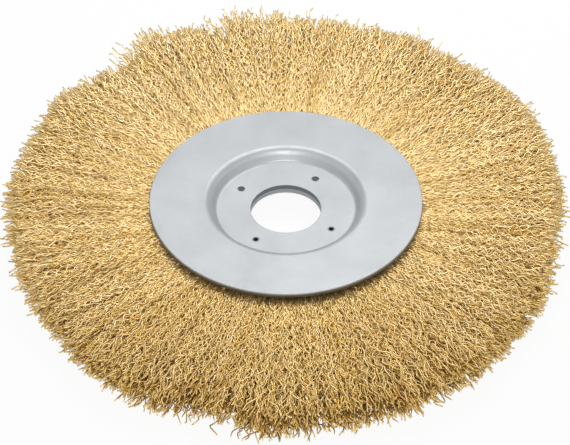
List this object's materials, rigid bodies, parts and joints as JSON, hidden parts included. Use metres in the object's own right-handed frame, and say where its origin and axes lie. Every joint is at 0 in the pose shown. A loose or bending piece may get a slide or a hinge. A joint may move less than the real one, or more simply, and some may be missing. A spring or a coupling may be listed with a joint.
{
  "type": "wire wheel brush",
  "caption": "Crimped wire wheel brush for a bench grinder: a round fan of brass-coated wire clamped between dished steel plates with a plain arbor bore.",
  "frame": {"origin": "centre of the arbor bore, halfway through it, where the two plates meet face to face", "axes": "+Z along the bore's axis, out of the front plate, with the wheel lying flat; +X and +Y lie in the wheel's plane"},
  "size_m": [0.1996, 0.2002, 0.0195],
  "materials": {
    "plate_steel": "matte zinc-plated pressed sheet steel",
    "ring_steel": "plain drawn steel wire",
    "brush_wire": "brass-coated crimped steel wire, satin"
  },
  "bodies": {
    "root": {"front_plate": "plate_steel", "rear_plate": "plate_steel", "core_ring": "ring_steel", "wire_tuft_01": "brush_wire", "wire_tuft_02": "brush_wire", "wire_tuft_03": "brush_wire", "wire_tuft_04": "brush_wire", "wire_tuft_05": "brush_wire", "wire_tuft_06": "brush_wire", "wire_tuft_07": "brush_wire", "wire_tuft_08": "brush_wire", "wire_tuft_09": "brush_wire", "wire_tuft_10": "brush_wire", "wire_tuft_11": "brush_wire", "wire_tuft_12": "brush_wire", "wire_tuft_13": "brush_wire", "wire_tuft_14": "brush_wire", "wire_tuft_15": "brush_wire", "wire_tuft_16": "brush_wire", "wire_tuft_17": "brush_wire", "wire_tuft_18": "brush_wire", "wire_tuft_19": "brush_wire", "wire_tuft_20": "brush_wire", "wire_tuft_21": "brush_wire", "wire_tuft_22": "brush_wire", "wire_tuft_23": "brush_wire", "wire_tuft_24": "brush_wire"}
  },
  "joints": []
}
